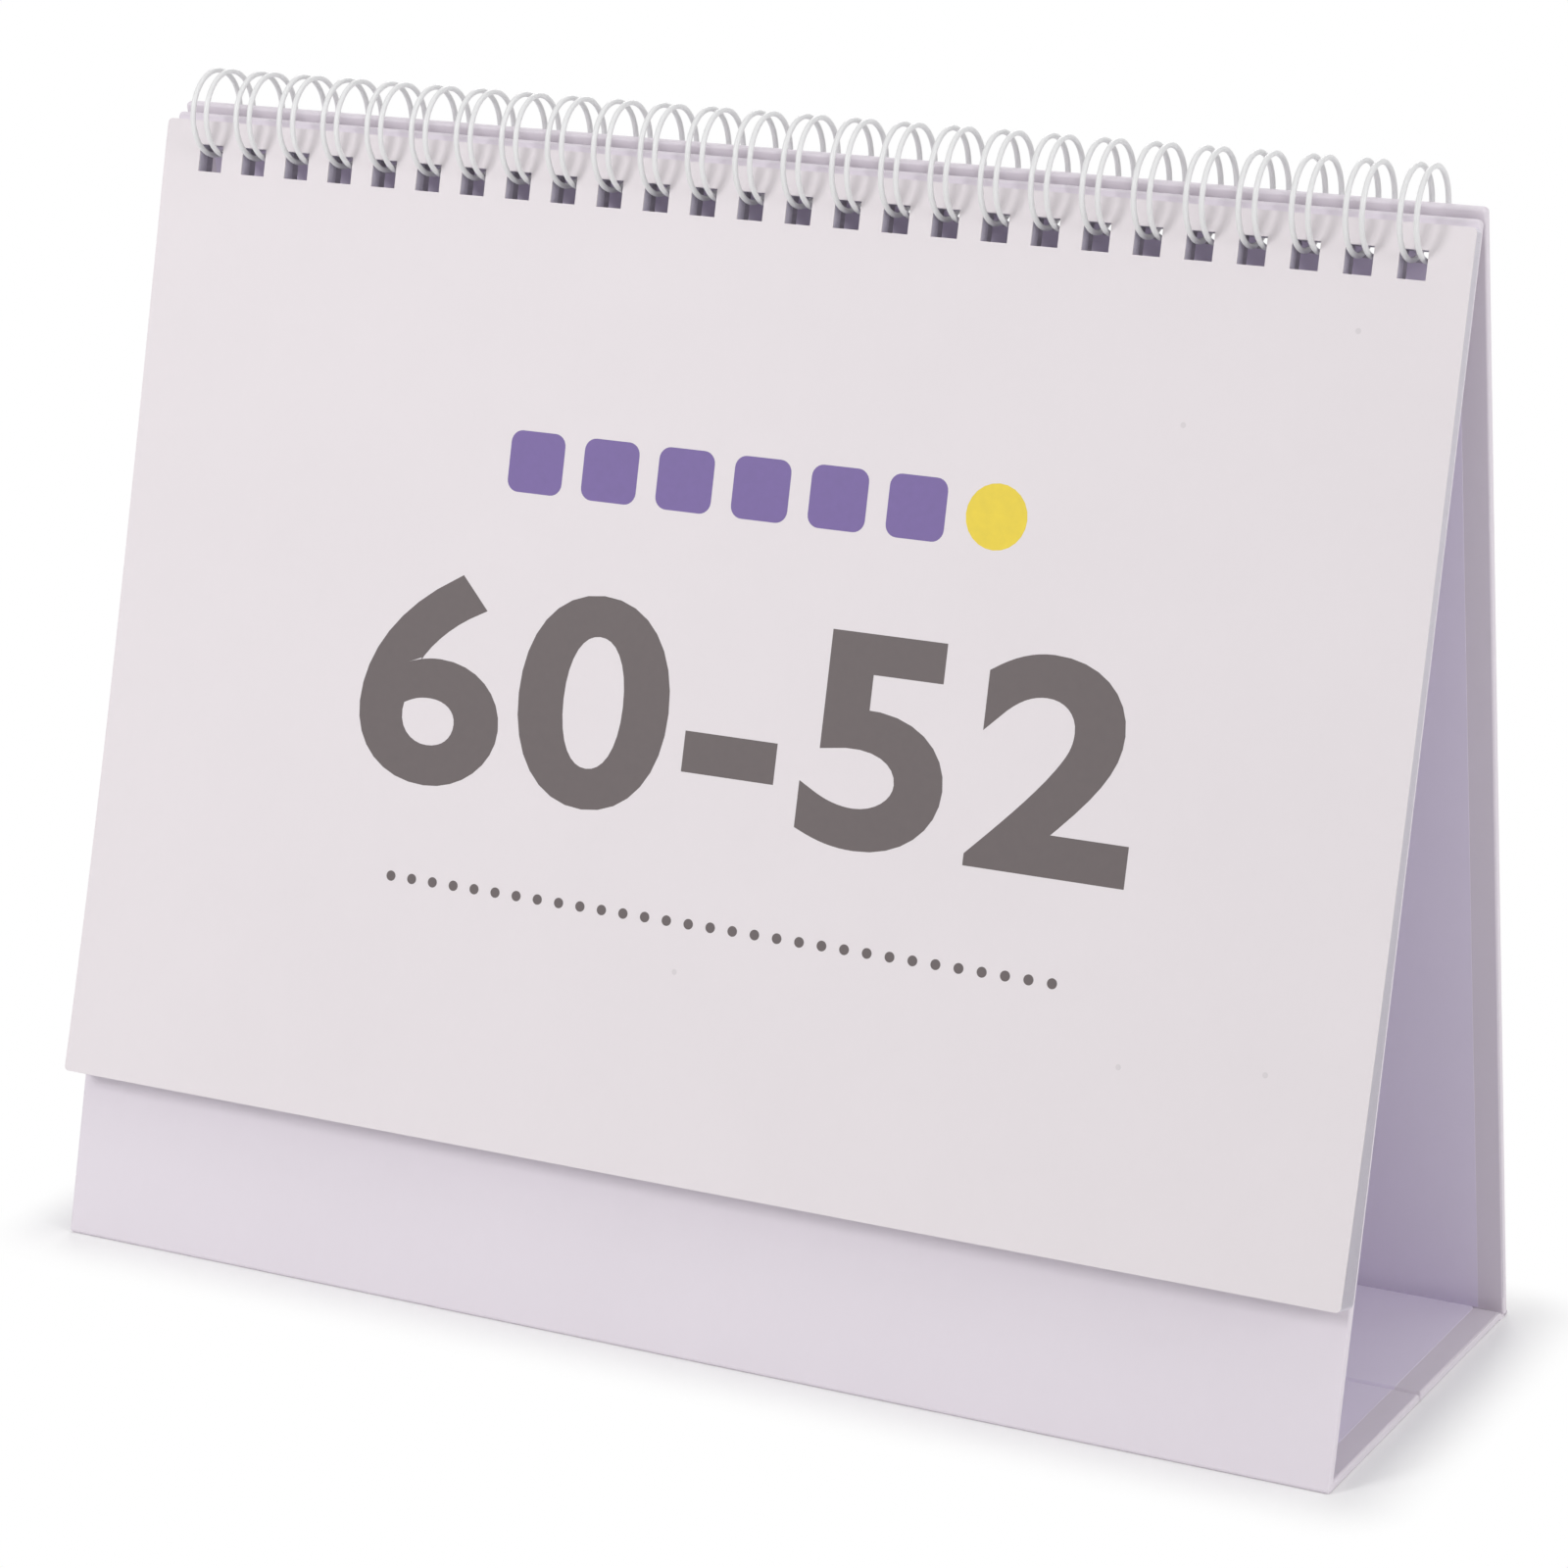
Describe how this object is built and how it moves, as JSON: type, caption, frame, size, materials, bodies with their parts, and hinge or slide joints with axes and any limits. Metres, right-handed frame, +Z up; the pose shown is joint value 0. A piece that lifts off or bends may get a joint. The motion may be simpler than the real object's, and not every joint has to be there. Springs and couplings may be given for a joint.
{
  "type": "spiral desk calendar",
  "caption": "Tent-shaped folding desk stand of paper-covered board with a wide pad of printed sheets hung on a white twin-loop wire along its top edge",
  "frame": {"origin": "on the table, under the middle of the base", "axes": "+X along the wire to the right as seen from the front, +Y from the pad's side to the back, +Z up"},
  "size_m": [0.23, 0.0838, 0.1955],
  "materials": {
    "greyboard": "matte grey pulp board",
    "wrap_paper": "matte laminated pale pink-lilac paper",
    "liner_paper": "matte pale lilac paper",
    "coated_wire": "white nylon-coated steel wire, satin",
    "cover_paper": "matte pale pink card with printed design",
    "leaf_paper": "matte white printed paper"
  },
  "bodies": {
    "front_board": {"front_core": "greyboard", "front_wrap": "wrap_paper", "front_liner": "liner_paper", "twin_loop_wire": "coated_wire"},
    "base_front": {"base_front_core": "greyboard", "base_front_wrap": "wrap_paper", "base_front_liner": "liner_paper"},
    "base_rear": {"base_rear_core": "greyboard", "base_rear_wrap": "wrap_paper", "base_rear_liner": "liner_paper"},
    "back_board": {"back_core": "greyboard", "back_wrap": "wrap_paper", "back_liner": "liner_paper"},
    "cover": {"cover_sheet": "cover_paper"},
    "leaf_01": {"leaf_01": "leaf_paper"},
    "leaf_02": {"leaf_02": "leaf_paper"},
    "leaf_03": {"leaf_03": "leaf_paper"},
    "leaf_04": {"leaf_04": "leaf_paper"},
    "leaf_05": {"leaf_05": "leaf_paper"},
    "leaf_06": {"leaf_06": "leaf_paper"},
    "leaf_07": {"leaf_07": "leaf_paper"},
    "leaf_08": {"leaf_08": "leaf_paper"},
    "leaf_09": {"leaf_09": "leaf_paper"},
    "leaf_10": {"leaf_10": "leaf_paper"},
    "leaf_11": {"leaf_11": "leaf_paper"},
    "leaf_12": {"leaf_12": "leaf_paper"}
  },
  "joints": [
    {"name": "base_fold", "type": "hinge", "parent": "front_board", "child": "base_front", "pos_m": [0, -0.042, 0], "axis": [1, 0, 0], "range_deg": [0, 28]},
    {"name": "base_crease", "type": "hinge", "parent": "base_front", "child": "base_rear", "pos_m": [0, -0.00118, 0], "axis": [1, 0, 0], "range_deg": [-55, 0]},
    {"name": "back_swing", "type": "hinge", "parent": "front_board", "child": "back_board", "pos_m": [0, -0.0019, 0.188], "axis": [1, 0, 0], "range_deg": [-2, 0]},
    {"name": "leaf_01_turn", "type": "hinge", "parent": "front_board", "child": "leaf_01", "pos_m": [0, -0.0019, 0.188], "axis": [-1, 0, 0], "range_deg": [0, 60]},
    {"name": "cover_turn", "type": "hinge", "parent": "leaf_01", "child": "cover", "pos_m": [0, -0.0019, 0.188], "axis": [-1, 0, 0], "range_deg": [0, 105]},
    {"name": "leaf_02_turn", "type": "hinge", "parent": "front_board", "child": "leaf_02", "pos_m": [0, -0.0019, 0.188], "axis": [-1, 0, 0], "range_deg": [0, 55.01]},
    {"name": "leaf_03_turn", "type": "hinge", "parent": "front_board", "child": "leaf_03", "pos_m": [0, -0.0019, 0.188], "axis": [-1, 0, 0], "range_deg": [0, 50.01]},
    {"name": "leaf_04_turn", "type": "hinge", "parent": "front_board", "child": "leaf_04", "pos_m": [0, -0.0019, 0.188], "axis": [-1, 0, 0], "range_deg": [0, 45.01]},
    {"name": "leaf_05_turn", "type": "hinge", "parent": "front_board", "child": "leaf_05", "pos_m": [0, -0.0019, 0.188], "axis": [-1, 0, 0], "range_deg": [0, 40.01]},
    {"name": "leaf_06_turn", "type": "hinge", "parent": "front_board", "child": "leaf_06", "pos_m": [0, -0.0019, 0.188], "axis": [-1, 0, 0], "range_deg": [0, 35.01]},
    {"name": "leaf_07_turn", "type": "hinge", "parent": "front_board", "child": "leaf_07", "pos_m": [0, -0.0019, 0.188], "axis": [-1, 0, 0], "range_deg": [0, 30.01]},
    {"name": "leaf_08_turn", "type": "hinge", "parent": "front_board", "child": "leaf_08", "pos_m": [0, -0.0019, 0.188], "axis": [-1, 0, 0], "range_deg": [0, 25.01]},
    {"name": "leaf_09_turn", "type": "hinge", "parent": "front_board", "child": "leaf_09", "pos_m": [0, -0.0019, 0.188], "axis": [-1, 0, 0], "range_deg": [0, 20.01]},
    {"name": "leaf_10_turn", "type": "hinge", "parent": "front_board", "child": "leaf_10", "pos_m": [0, -0.0019, 0.188], "axis": [-1, 0, 0], "range_deg": [0, 15.01]},
    {"name": "leaf_11_turn", "type": "hinge", "parent": "front_board", "child": "leaf_11", "pos_m": [0, -0.0019, 0.188], "axis": [-1, 0, 0], "range_deg": [0, 10.01]},
    {"name": "leaf_12_turn", "type": "hinge", "parent": "front_board", "child": "leaf_12", "pos_m": [0, -0.0019, 0.188], "axis": [-1, 0, 0], "range_deg": [0, 5.01]}
  ],
  "couplings": [
    {"joint": "base_crease", "follows": "base_fold", "ratio": -1.9455},
    {"joint": "back_swing", "follows": "base_fold", "ratio": -0.065},
    {"joint": "leaf_02_turn", "follows": "leaf_01_turn", "ratio": 0.9167},
    {"joint": "leaf_03_turn", "follows": "leaf_01_turn", "ratio": 0.8333},
    {"joint": "leaf_04_turn", "follows": "leaf_01_turn", "ratio": 0.75},
    {"joint": "leaf_05_turn", "follows": "leaf_01_turn", "ratio": 0.6667},
    {"joint": "leaf_06_turn", "follows": "leaf_01_turn", "ratio": 0.5833},
    {"joint": "leaf_07_turn", "follows": "leaf_01_turn", "ratio": 0.5},
    {"joint": "leaf_08_turn", "follows": "leaf_01_turn", "ratio": 0.4167},
    {"joint": "leaf_09_turn", "follows": "leaf_01_turn", "ratio": 0.3333},
    {"joint": "leaf_10_turn", "follows": "leaf_01_turn", "ratio": 0.25},
    {"joint": "leaf_11_turn", "follows": "leaf_01_turn", "ratio": 0.1667},
    {"joint": "leaf_12_turn", "follows": "leaf_01_turn", "ratio": 0.0833}
  ]
}
